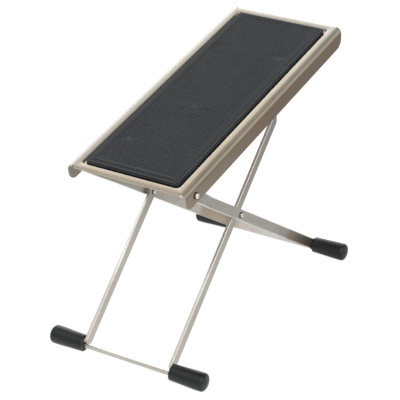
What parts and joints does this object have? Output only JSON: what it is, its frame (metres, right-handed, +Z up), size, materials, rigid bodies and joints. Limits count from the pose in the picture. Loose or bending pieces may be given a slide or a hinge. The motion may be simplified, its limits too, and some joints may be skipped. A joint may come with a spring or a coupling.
{
  "type": "guitar footrest",
  "caption": "Folding footrest: a tilted steel plate with a ribbed rubber mat on scissor legs of flat bar, with a locking bar in notched rails and rubber end caps.",
  "frame": {"origin": "on the floor, under the middle of the footrest's length and width, standing in its highest notch", "axes": "+X across the plate's width, +Y from the plate's low front end to its high rear end, +Z up"},
  "size_m": [0.1638, 0.2872, 0.2242],
  "materials": {
    "nickel_satin": "satin nickel plate over pressed sheet and flat bar",
    "nickel_bright": "brighter nickel on rivets, washers and the locking bar",
    "mat_rubber": "matt moulded rubber with fine cross ribs",
    "cap_rubber": "smooth black rubber with a soft sheen"
  },
  "bodies": {
    "rear_frame": {"rear_leg_left": "nickel_satin", "rear_leg_right": "nickel_satin", "rear_crossbar": "nickel_satin", "rear_foot_left": "cap_rubber", "rear_foot_right": "cap_rubber", "scissor_rivet_left": "nickel_bright", "scissor_rivet_right": "nickel_bright", "scissor_washer_left": "nickel_bright", "scissor_washer_right": "nickel_bright"},
    "front_frame": {"front_leg_left": "nickel_satin", "front_leg_right": "nickel_satin", "front_crossbar": "nickel_satin", "front_foot_left": "cap_rubber", "front_foot_right": "cap_rubber", "locking_bar": "nickel_bright"},
    "tread": {"foot_plate": "nickel_satin", "rubber_mat": "mat_rubber", "notch_rail_left": "nickel_satin", "notch_rail_right": "nickel_satin", "pivot_rivet_left": "nickel_bright", "pivot_rivet_right": "nickel_bright", "pivot_washer_left": "nickel_bright", "pivot_washer_right": "nickel_bright"}
  },
  "joints": [
    {"name": "scissor_fold", "type": "hinge", "parent": "rear_frame", "child": "front_frame", "pos_m": [0, -0.02628, 0.10753], "axis": [-1, 0, 0], "range_deg": [0, 76.3]},
    {"name": "plate_fold", "type": "hinge", "parent": "rear_frame", "child": "tread", "pos_m": [0, -0.11646, 0.1684], "axis": [-1, 0, 0], "range_deg": [0, 43.95]}
  ],
  "couplings": [
    {"joint": "plate_fold", "follows": "scissor_fold", "ratio": 0.57579}
  ]
}
